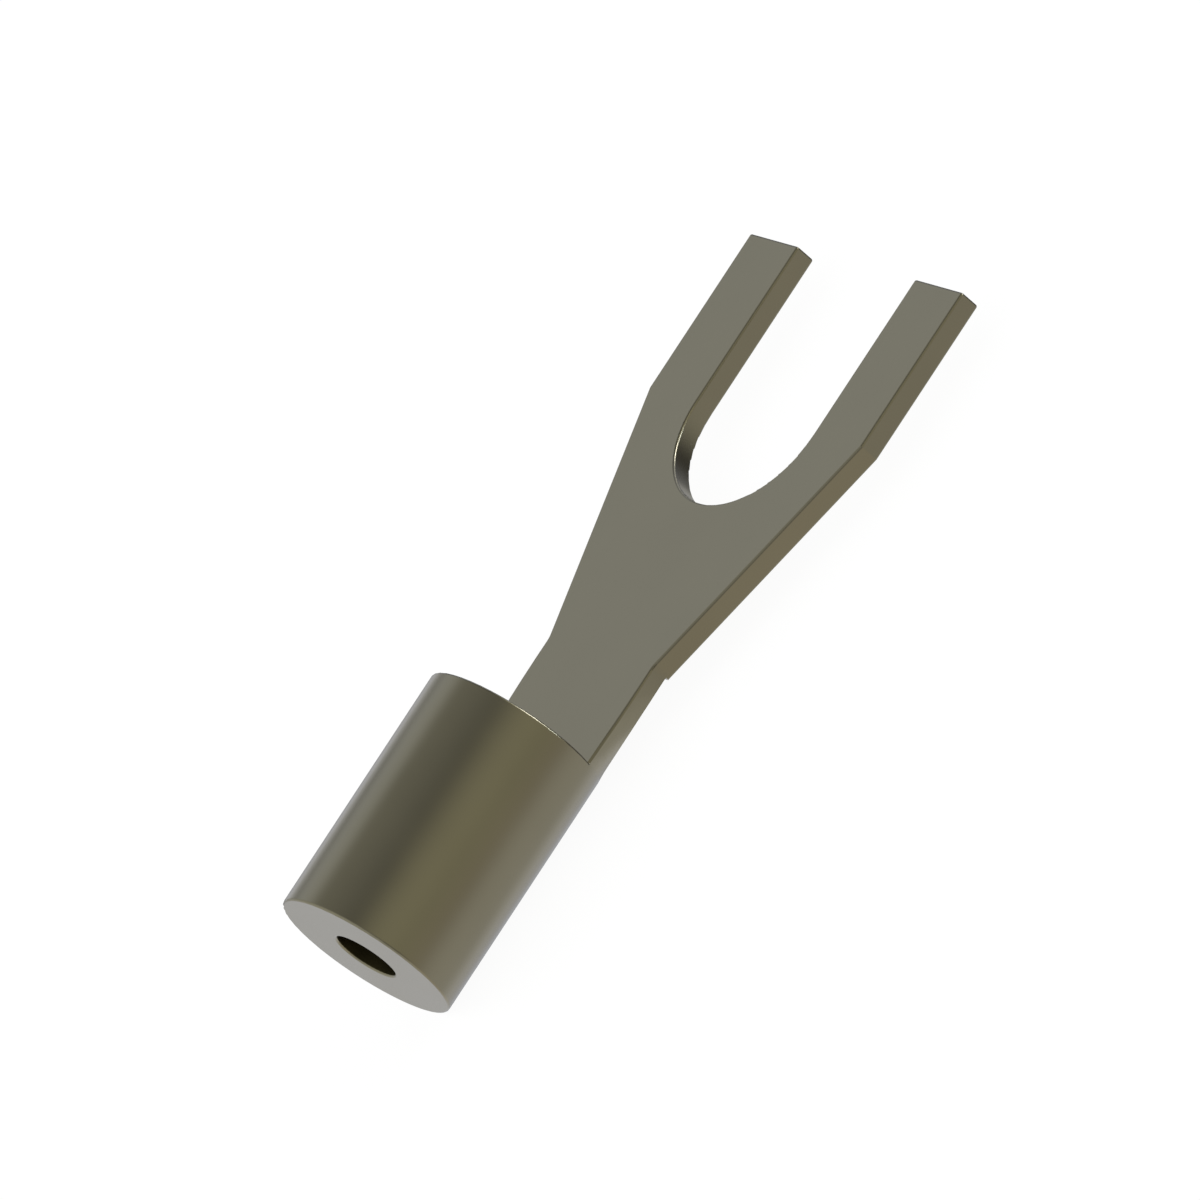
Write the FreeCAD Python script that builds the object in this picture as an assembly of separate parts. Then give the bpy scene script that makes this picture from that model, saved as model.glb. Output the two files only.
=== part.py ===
import FreeCAD, Part
import math
import os

# Bare fork crimp terminal, one piece of tinned copper. Sizes are in millimetres.
# +X runs along the barrel from its wire mouth to the tips of the fork, +Y across the fork and +Z up.
# The origin is the centre of the wire mouth.

# Barrel, which is pressed onto the wire
barrel_diameter = 4.0
barrel_length = 5.64
bore_diameter = 1.4

# Neck, which turns the lower part of the barrel into the flat tongue
neck_length = 2.38
neck_width = 3.81
neck_step = 0.101         # from the tongue's underside up to the neck's, where they meet
neck_crease_angle = 49.0  # degrees below the barrel's axis at which the neck's two creases start
neck_fillet = 0.5         # inside radius, seen from above, where the neck widens into the fork

# The neck's section about half way along it
middle_at = 1.28          # from the barrel's end
middle_width = 3.81
middle_crease_width = 3.59
middle_crease_drop = 1.19  # below the barrel's axis, as the next
middle_drop = 1.4
middle_side_bow = 0.016

# Fork, for a 4 mm stud
fork_thickness = 0.51
fork_width = 7.714
flare_length = 5.815
tine_length = 3.81
slot_width = 4.25

# Clearances and finish
wire_drop = 0.002         # from the bottom of the bore down to the flat upper face
edge_round = 0.05         # radius that tumbling leaves on the outer edges

barrel_radius = barrel_diameter / 2
bore_radius = bore_diameter / 2
half_neck = neck_width / 2
half_fork = fork_width / 2
half_slot = slot_width / 2

flat_top = -(bore_radius + wire_drop)
fork_bottom = flat_top - fork_thickness
neck_end_bottom = fork_bottom + neck_step

fork_start = barrel_length + neck_length
shoulder = fork_start + flare_length
fork_tip = shoulder + tine_length

# The corner between neck and flare is at fork_start. Its fillet starts a little before, where the
# blend of the neck ends.
flare_angle = math.atan2(half_fork - half_neck, flare_length)
fillet_run = neck_fillet * math.tan(flare_angle / 2)
neck_end = fork_start - fillet_run

tiny = 1e-4


def point(x, y, z):
    return FreeCAD.Vector(x, y, z)


def mirrored(p):
    """The same point on the other side of the terminal."""
    return point(p.x, -p.y, p.z)


def line(start, end):
    return Part.LineSegment(start, end).toShape()


def arc(start, middle, end):
    return Part.Arc(start, middle, end).toShape()


def rounded(solid, is_rounded):
    """The solid with its small outer radius on the edges that is_rounded picks by their boxes."""
    return solid.makeFillet(edge_round, [edge for edge in solid.Edges if is_rounded(edge.BoundBox)])


def make_barrel():
    """A thick tube, open at both ends so that the wire's end shows beside the neck."""
    mouth = point(0, 0, 0)
    along = point(1, 0, 0)
    outside = Part.makeCylinder(barrel_radius, barrel_length, mouth, along)
    bore = Part.makeCylinder(bore_radius, barrel_length, mouth, along)

    def is_outer_rim_or_wire_mouth(box):
        is_rim = box.XLength < tiny
        return is_rim and (box.YMax > bore_radius + tiny or box.XMax < tiny)

    return rounded(outside.cut(bore), is_outer_rim_or_wire_mouth)


def rim_point(angle):
    """A point of the barrel's far rim, by its angle in degrees below the axis, from the -Y side."""
    turn = math.radians(angle)
    return point(barrel_length, -barrel_radius * math.cos(turn), -barrel_radius * math.sin(turn))


def neck_root_section():
    """The barrel's lower segment, under the flat upper face, with its two sharp corners taken off."""
    corner_angle = math.degrees(math.asin((edge_round - flat_top) / barrel_radius))
    angles = [corner_angle, neck_crease_angle, 180 - neck_crease_angle, 180 - corner_angle]
    arcs = [arc(rim_point(a), rim_point((a + b) / 2), rim_point(b)) for a, b in zip(angles, angles[1:])]
    half_top = math.sqrt((barrel_radius - edge_round) ** 2 - flat_top ** 2)
    top_end = point(barrel_length, -half_top, flat_top)
    first_corner = line(top_end, rim_point(corner_angle))
    last_corner = line(rim_point(180 - corner_angle), mirrored(top_end))
    return Part.Wire([first_corner, *arcs, last_corner, line(mirrored(top_end), top_end)])


def bowed(start, end, bow):
    """A line in a cross-section, or an arc that stands out from it by bow."""
    if bow == 0:
        return line(start, end)
    run = end - start
    outwards = point(0, run.z, -run.y).normalize()
    return arc(start, (start + end) / 2 + outwards * bow, end)


def neck_section(x, half_width, crease, side_bow, bottom_bow):
    """A section further along the neck, its upper corners round. The crease is its lower corner."""
    bulge = edge_round * (1 - math.sqrt(0.5))
    top_end = point(x, edge_round - half_width, flat_top)
    corner = point(x, bulge - half_width, flat_top - bulge)
    side_top = point(x, -half_width, flat_top - edge_round)
    return Part.Wire([
        arc(top_end, corner, side_top),
        bowed(side_top, crease, side_bow),
        bowed(crease, mirrored(crease), bottom_bow),
        bowed(mirrored(crease), mirrored(side_top), side_bow),
        arc(mirrored(side_top), mirrored(corner), mirrored(top_end)),
        line(mirrored(top_end), top_end),
    ])


def make_neck():
    """A smooth blend of three sections: the upper face is flat, the sides turn from the barrel's
    roundness to upright, and the underside rises and flattens."""
    root = neck_root_section()
    middle_x = barrel_length + middle_at
    middle_crease = point(middle_x, -middle_crease_width / 2, -middle_crease_drop)
    middle_bottom_bow = middle_drop - middle_crease_drop
    middle = neck_section(middle_x, middle_width / 2, middle_crease, middle_side_bow, middle_bottom_bow)
    end = neck_section(neck_end, half_neck, point(neck_end, -half_neck, neck_end_bottom), 0, 0)
    blend = Part.makeLoft([root, middle, end], True)
    # The root reaches back under the barrel's rounded rim, so that no groove is left below the neck.
    reach_back = point(-2 * edge_round, 0, 0)
    return blend.fuse(Part.Face(root).extrude(reach_back))


def fork_side():
    """The edges of the fork's right side on its underside, from the neck round to the slot."""
    def fillet_point(angle):
        return point(neck_end + neck_fillet * math.sin(angle),
                     neck_fillet * (math.cos(angle) - 1) - half_neck, fork_bottom)

    corners = [
        fillet_point(flare_angle),
        point(shoulder, -half_fork, fork_bottom),
        point(fork_tip, -half_fork, fork_bottom),
        point(fork_tip, -half_slot, fork_bottom),
        point(shoulder, -half_slot, fork_bottom),
    ]
    fillet = arc(fillet_point(0), fillet_point(flare_angle / 2), corners[0])
    return [fillet] + [line(a, b) for a, b in zip(corners, corners[1:])]


def make_fork():
    """A flat plate that widens from the neck, then runs on as two straight tines around the slot."""
    right = fork_side()
    across = FreeCAD.Vector(0, 1, 0)
    left = [edge.mirror(point(0, 0, 0), across) for edge in right]
    slot_side = point(shoulder, -half_slot, fork_bottom)
    slot_end = arc(slot_side, point(shoulder - half_slot, 0, fork_bottom), mirrored(slot_side))
    start_side = point(neck_end, -half_neck, fork_bottom)
    start = line(mirrored(start_side), start_side)
    outline = Part.Wire(Part.sortEdges([*right, *left, slot_end, start])[0])
    plate = Part.Face(outline).extrude(point(0, 0, fork_thickness))

    def is_outline_or_tip(box):
        is_outline = box.ZLength < tiny and box.XMax > neck_end + tiny
        is_tip = box.ZLength > tiny and box.XMin > fork_tip - tiny
        return is_outline or is_tip

    # Where the fillets start, the plate is as thin as the neck's end.
    under_neck = Part.makeBox(fillet_run, fork_width, neck_step, point(neck_end, -half_fork, fork_bottom))
    return rounded(plate, is_outline_or_tip).cut(under_neck)


os.makedirs("parts", exist_ok=True)
joined = make_barrel().fuse([make_neck(), make_fork()]).removeSplitter()
terminal = joined.Solids[0]
terminal.exportStep("parts/fork_terminal.step")
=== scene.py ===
"""Looks of the bare fork terminal: tinned metal, pale floor, soft light and the photograph's view."""
import bpy
import math
from mathutils import Matrix, Vector


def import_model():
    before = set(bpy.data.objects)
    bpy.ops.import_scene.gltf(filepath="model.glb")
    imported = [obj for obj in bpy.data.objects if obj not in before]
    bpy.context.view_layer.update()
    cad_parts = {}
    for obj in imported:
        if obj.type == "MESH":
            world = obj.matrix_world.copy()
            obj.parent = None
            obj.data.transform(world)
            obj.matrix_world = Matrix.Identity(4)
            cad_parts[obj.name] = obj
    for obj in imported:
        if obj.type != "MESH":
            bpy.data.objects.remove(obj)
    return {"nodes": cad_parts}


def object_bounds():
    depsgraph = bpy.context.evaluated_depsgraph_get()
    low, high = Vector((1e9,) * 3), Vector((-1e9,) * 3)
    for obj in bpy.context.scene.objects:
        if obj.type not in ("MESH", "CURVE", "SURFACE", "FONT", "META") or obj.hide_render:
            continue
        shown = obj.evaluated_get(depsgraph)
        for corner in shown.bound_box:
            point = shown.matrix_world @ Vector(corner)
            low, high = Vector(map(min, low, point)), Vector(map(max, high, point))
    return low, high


MM = 0.001
WHITE = (1, 1, 1, 1)

# The photograph: a parallel view, 1200 px on each side. The centre of the barrel's open end
# appears at WIRE_MOUTH_PX, from the top left corner.
PHOTO_PX = 1200
PX_PER_MM = 49.49
WIRE_MOUTH_PX = (365.54, 956.80)
VIEW_AZIMUTH = math.radians(-14.42)  # 0 looks along +Y
VIEW_ELEVATION = math.radians(32.50)
VIEW_ROLL = math.radians(-48.82)
CAMERA_DISTANCE = 120 * MM

# Tin plating: its linear colour and its roughness vary by these shares of themselves
TIN = (0.187, 0.171, 0.119)
TIN_ROUGHNESS = 0.25
COLOUR_SPREAD = 0.03
ROUGHNESS_SPREAD = 0.06
CLOUD_SIZE = 2.5 * MM
CLOUD_DETAIL = 2
GRAIN_SIZE = 0.05 * MM
GRAIN_DETAIL = 1
GRAIN_HEIGHT = 0.0001 * MM
NOISE_RANGE = (0.3, 0.7)             # the noise's usual lowest and highest value

# The bore's wall is rougher than the plated outside. Its darker, warmer colour is painted shade and
# painted warm inter-reflection of the bore.
BORE_PAINTED_SHADE = (0.094, 0.080, 0.036)
BORE_ROUGHNESS = 0.40

# Where the bore and the terminal's small rounds are
EDGE_ROUND = 0.05 * MM
BARREL_RADIUS = 2.0 * MM
BARREL_LENGTH = 5.64 * MM
BORE_RADIUS = 0.7 * MM
FLAT_TOP = -0.702 * MM
FORK_UNDERSIDE = -1.212 * MM
SLOT_RADIUS = 2.125 * MM
SLOT_CENTRE = 13.835 * MM
SLOT_RIM = 0.1 * MM                  # width beside the slot in which the normals are worked out
HAIR = 0.001 * MM                    # how far past a face a place still counts as on it

# Floor
FLOOR_SIZE = 2000 * MM
FLOOR_COLOUR = (0.8, 0.8, 0.8)
FLOOR_LIFT = 0.88                    # share of plain white in what the camera sees of the floor
FLOOR_WHITE = 1.07                   # brings the open floor up to white

# The room: a dim shell with soft lights, each far away and fading out over its half width, of
# which the last two are small and bright. Azimuth is measured from +X towards +Y and elevation
# from the horizon, in degrees.
ROOM_COLOUR = (0.100, 0.100, 0.100)
SOFT_LIGHTS = (
    # place              azimuth elevation half width  colour
    ("above the barrel",     162,   24,   110, (0.96, 0.98, 0.96)),
    ("beside the barrel",    135,  -24,    51, (0.18, 0.17, 0.19)),
    ("in front",             -45,   14,    54, (0.94, 0.92, 0.72)),
    ("in front, below",     -112,  -58,    72, (0.78, 0.72, 0.63)),
    ("behind, above",         68,   32,    24, (0.48, 0.52, 0.63)),
    ("behind, level",         78,   -7,    20, (0.63, 0.64, 0.71)),
    ("behind, below",         94,  -60,    44, (0.56, 0.58, 0.65)),
    ("past the fork",         22,    4,    43, (0.85, 0.91, 1.10)),
    ("past the fork, below",  49,  -44,    18, (0.81, 0.80, 0.76)),
    ("from the floor",       -64,  -64,    48, (0.16, 0.22, 0.32)),
    ("key, past the fork",   -18,    6,    15, (15.5, 15.9, 18.1)),
    ("second key, lower",    -37,  -10,     9, (14.5, 16.4, 20.0)),
)

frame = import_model()
cad_low, cad_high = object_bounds()
terminal = frame["nodes"]["fork_terminal"]


def new_material(name):
    """An empty node material with its output node."""
    material = bpy.data.materials.new(name)
    material.use_nodes = True
    nodes = material.node_tree.nodes
    nodes.clear()
    output = nodes.new("ShaderNodeOutputMaterial")
    return material, nodes, material.node_tree.links, output


def noise(nodes, links, place, size, detail):
    """Soft noise with grains of the given size, around one half."""
    texture = nodes.new("ShaderNodeTexNoise")
    texture.inputs["Scale"].default_value = 1 / size
    texture.inputs["Detail"].default_value = detail
    links.new(place.outputs["Object"], texture.inputs["Vector"])
    return texture.outputs["Fac"]


def spread(nodes, links, fac, value, share):
    """The value, more or less by a share of itself as the noise says."""
    mapped = nodes.new("ShaderNodeMapRange")
    mapped.inputs["From Min"].default_value, mapped.inputs["From Max"].default_value = NOISE_RANGE
    mapped.inputs["To Min"].default_value = value * (1 - share)
    mapped.inputs["To Max"].default_value = value * (1 + share)
    links.new(fac, mapped.inputs["Value"])
    return mapped.outputs["Result"]


def feed(links, node, values):
    """Gives a node's inputs their values, each of which is a number or a socket."""
    for socket, value in zip(node.inputs, values):
        if isinstance(value, (int, float)):
            socket.default_value = value
        else:
            links.new(value, socket)


def calculator(nodes, links):
    """A function that adds a math node for an operation on sockets or numbers."""
    def calculate(operation, *values):
        node = nodes.new("ShaderNodeMath")
        node.operation = operation
        feed(links, node, values)
        return node.outputs["Value"]
    return calculate


def length(calculate, a, b):
    """The length of a vector with two components."""
    return calculate("SQRT", calculate("ADD", calculate("MULTIPLY", a, a), calculate("MULTIPLY", b, b)))


def vector(nodes, links, x, y, z):
    """A vector from three sockets or numbers."""
    node = nodes.new("ShaderNodeCombineXYZ")
    feed(links, node, (x, y, z))
    return node.outputs["Vector"]


def coordinates(nodes, links, place):
    """The x, y and z of a place on the terminal."""
    axes = nodes.new("ShaderNodeSeparateXYZ")
    links.new(place.outputs["Object"], axes.inputs["Vector"])
    return [axes.outputs[name] for name in "XYZ"]


def round_normals(nodes, links, place):
    """The normals of the small rounds on the barrel's rims and around the slot. The mesh has few
    and long triangles there, so they are worked out from the place on the round."""
    calculate = calculator(nodes, links)
    x, y, z = coordinates(nodes, links, place)

    def past(value, start):
        return calculate("MAXIMUM", calculate("SUBTRACT", value, start), 0)

    def before(value, end):
        return calculate("MAXIMUM", calculate("SUBTRACT", end, value), 0)

    # Barrel: outwards from its axis or inwards in the bore, and turning along the axis at both
    # ends by the sine of the round's angle. Below the flat upper face the neck goes on.
    from_axis = length(calculate, y, z)
    beyond = calculate("MULTIPLY", past(x, BARREL_LENGTH - EDGE_ROUND),
                       calculate("GREATER_THAN", z, FLAT_TOP - EDGE_ROUND))
    sine = calculate("DIVIDE", calculate("SUBTRACT", beyond, before(x, EDGE_ROUND)), EDGE_ROUND)
    cosine_squared = calculate("SUBTRACT", 1, calculate("MULTIPLY", sine, sine))
    cosine = calculate("SQRT", calculate("MAXIMUM", cosine_squared, 0))
    side = calculate("SIGN", calculate("SUBTRACT", from_axis, (BARREL_RADIUS + BORE_RADIUS) / 2))
    share = calculate("DIVIDE", calculate("MULTIPLY", cosine, side), from_axis)
    barrel = vector(nodes, links, sine, calculate("MULTIPLY", y, share), calculate("MULTIPLY", z, share))
    on_barrel = calculate("LESS_THAN", x, BARREL_LENGTH + HAIR)

    # Slot: away from the round's centre line, which is towards the slot's middle line or the
    # centre of its round end, and up or down.
    into_end = calculate("MINIMUM", calculate("SUBTRACT", x, SLOT_CENTRE), 0)
    from_middle = length(calculate, into_end, y)
    inwards = calculate("MULTIPLY", before(from_middle, SLOT_RADIUS + EDGE_ROUND), -1)
    towards_middle = calculate("DIVIDE", inwards, from_middle)
    upwards = calculate("SUBTRACT", past(z, FLAT_TOP - EDGE_ROUND),
                        before(z, FORK_UNDERSIDE + EDGE_ROUND))
    slot = vector(nodes, links, calculate("MULTIPLY", into_end, towards_middle),
                  calculate("MULTIPLY", y, towards_middle), upwards)
    at_slot = calculate("MULTIPLY", calculate("LESS_THAN", from_middle, SLOT_RADIUS + SLOT_RIM),
                        calculate("LESS_THAN", x, SLOT_CENTRE))

    normal = nodes.new("ShaderNodeNewGeometry").outputs["Normal"]
    for here, exact in ((on_barrel, barrel), (at_slot, slot)):
        unit = nodes.new("ShaderNodeVectorMath")
        unit.operation = "NORMALIZE"
        links.new(exact, unit.inputs[0])
        chosen = nodes.new("ShaderNodeMix")
        chosen.data_type = "VECTOR"
        links.new(here, chosen.inputs["Factor"])
        links.new(normal, chosen.inputs["A"])
        links.new(unit.outputs["Vector"], chosen.inputs["B"])
        normal = chosen.outputs["Result"]
    return normal


def tinned_metal():
    """Satin tin over copper, with faint clouds in its colour and gloss and a very fine grain. It
    is rougher on the bore's wall, where its darker, warmer colour is painted shade."""
    material, nodes, links, output = new_material("tinned_metal")
    shader = nodes.new("ShaderNodeBsdfPrincipled")
    shader.inputs["Metallic"].default_value = 1.0
    place = nodes.new("ShaderNodeTexCoord")
    clouds = noise(nodes, links, place, CLOUD_SIZE, CLOUD_DETAIL)
    calculate = calculator(nodes, links)
    _, y, z = coordinates(nodes, links, place)
    on_bore_wall = calculate("LESS_THAN", length(calculate, y, z), BORE_RADIUS + HAIR)

    def clouded(outside, bore, share):
        """The outside's value, or the bore's on its wall, varied by a share of itself."""
        value = spread(nodes, links, clouds, outside, share)
        ratio = calculate("MULTIPLY_ADD", on_bore_wall, bore / outside - 1, 1)
        return calculate("MULTIPLY", value, ratio)

    tint = nodes.new("ShaderNodeCombineColor")
    # On the bore's wall the colour is painted shade, darker and warmer than the outside
    for channel, outside, bore in zip(("Red", "Green", "Blue"), TIN, BORE_PAINTED_SHADE):
        links.new(clouded(outside, bore, COLOUR_SPREAD), tint.inputs[channel])
    links.new(tint.outputs["Color"], shader.inputs["Base Color"])
    roughness = clouded(TIN_ROUGHNESS, BORE_ROUGHNESS, ROUGHNESS_SPREAD)
    links.new(roughness, shader.inputs["Roughness"])
    grain = nodes.new("ShaderNodeBump")
    grain.inputs["Distance"].default_value = GRAIN_HEIGHT
    links.new(noise(nodes, links, place, GRAIN_SIZE, GRAIN_DETAIL), grain.inputs["Height"])
    links.new(round_normals(nodes, links, place), grain.inputs["Normal"])
    links.new(grain.outputs["Normal"], shader.inputs["Normal"])
    links.new(shader.outputs["BSDF"], output.inputs["Surface"])
    return material


def pale_floor():
    """A matt floor that the camera sees as white, with the object's soft shadow on it."""
    material, nodes, links, output = new_material("pale_floor")
    material.cycles.emission_sampling = "NONE"
    matt = nodes.new("ShaderNodeBsdfDiffuse")
    matt.inputs["Color"].default_value = (*FLOOR_COLOUR, 1)
    white = nodes.new("ShaderNodeEmission")
    white.inputs["Strength"].default_value = FLOOR_WHITE
    ray = nodes.new("ShaderNodeLightPath")
    share = nodes.new("ShaderNodeMath")
    share.operation = "MULTIPLY"
    share.inputs[1].default_value = FLOOR_LIFT
    links.new(ray.outputs["Is Camera Ray"], share.inputs[0])
    mix = nodes.new("ShaderNodeMixShader")
    links.new(share.outputs["Value"], mix.inputs["Fac"])
    links.new(matt.outputs["BSDF"], mix.inputs[1])
    links.new(white.outputs["Emission"], mix.inputs[2])
    links.new(mix.outputs["Shader"], output.inputs["Surface"])
    return material


def make_floor():
    """A floor at the height of the barrel's underside, on which the terminal lies. The metal
    reflects the soft room in its place."""
    bpy.ops.mesh.primitive_plane_add(size=FLOOR_SIZE, location=(0, 0, cad_low.z))
    floor = bpy.context.object
    floor.name = "floor"
    floor.data.materials.append(pale_floor())
    floor.visible_glossy = False


def towards(azimuth, elevation):
    """The unit direction of an azimuth from +X towards +Y and an elevation, in degrees."""
    around, above = math.radians(azimuth), math.radians(elevation)
    return (math.cos(above) * math.cos(around), math.cos(above) * math.sin(around), math.sin(above))


def make_room():
    """The world: a dim room with soft lights, which the camera sees as plain white."""
    world = bpy.data.worlds.new("room")
    bpy.context.scene.world = world
    world.use_nodes = True
    nodes = world.node_tree.nodes
    links = world.node_tree.links
    nodes.clear()
    place = nodes.new("ShaderNodeTexCoord")
    shell = nodes.new("ShaderNodeRGB")
    shell.outputs["Color"].default_value = (*ROOM_COLOUR, 1)
    room = shell.outputs["Color"]
    for name, azimuth, elevation, half_width, colour in SOFT_LIGHTS:
        nearness = nodes.new("ShaderNodeVectorMath")
        nearness.operation = "DOT_PRODUCT"
        nearness.inputs[1].default_value = towards(azimuth, elevation)
        links.new(place.outputs["Generated"], nearness.inputs[0])
        fade = nodes.new("ShaderNodeMapRange")
        fade.interpolation_type = "SMOOTHSTEP"
        fade.inputs["From Min"].default_value = math.cos(math.radians(half_width))
        links.new(nearness.outputs["Value"], fade.inputs["Value"])
        light = nodes.new("ShaderNodeVectorMath")
        light.label = name
        light.operation = "MULTIPLY_ADD"
        light.inputs[1].default_value = colour
        links.new(fade.outputs["Result"], light.inputs[0])
        links.new(room, light.inputs[2])
        room = light.outputs["Vector"]
    ray = nodes.new("ShaderNodeLightPath")
    seen = nodes.new("ShaderNodeMix")
    seen.data_type = "RGBA"
    links.new(ray.outputs["Is Camera Ray"], seen.inputs["Factor"])
    links.new(room, seen.inputs["A"])
    seen.inputs["B"].default_value = WHITE
    background = nodes.new("ShaderNodeBackground")
    links.new(seen.outputs["Result"], background.inputs["Color"])
    output = nodes.new("ShaderNodeOutputWorld")
    links.new(background.outputs["Background"], output.inputs["Surface"])


def make_camera():
    """The photograph's parallel camera, turned about its line of sight as the photograph is."""
    sin_a, cos_a = math.sin(VIEW_AZIMUTH), math.cos(VIEW_AZIMUTH)
    sin_e, cos_e = math.sin(VIEW_ELEVATION), math.cos(VIEW_ELEVATION)
    back = Vector((sin_a * cos_e, -cos_a * cos_e, sin_e))
    level_right = Vector((cos_a, sin_a, 0))
    level_up = back.cross(level_right)
    right = level_right * math.cos(VIEW_ROLL) + level_up * math.sin(VIEW_ROLL)
    up = back.cross(right)
    metres_per_px = MM / PX_PER_MM
    aside = (PHOTO_PX / 2 - WIRE_MOUTH_PX[0]) * metres_per_px
    above = (WIRE_MOUTH_PX[1] - PHOTO_PX / 2) * metres_per_px
    centre = right * aside + up * above
    camera = bpy.data.objects.new("camera", bpy.data.cameras.new("camera"))
    bpy.context.scene.collection.objects.link(camera)
    camera.data.type = "ORTHO"
    camera.data.ortho_scale = PHOTO_PX * metres_per_px
    camera.data.clip_start = MM
    camera.data.clip_end = FLOOR_SIZE * 2
    turn = Matrix((right, up, back)).transposed()
    camera.matrix_world = Matrix.Translation(centre + back * CAMERA_DISTANCE) @ turn.to_4x4()
    bpy.context.scene.camera = camera


terminal.data.materials.clear()
terminal.data.materials.append(tinned_metal())
make_floor()
make_room()
make_camera()

bpy.context.scene.view_settings.view_transform = "Standard"
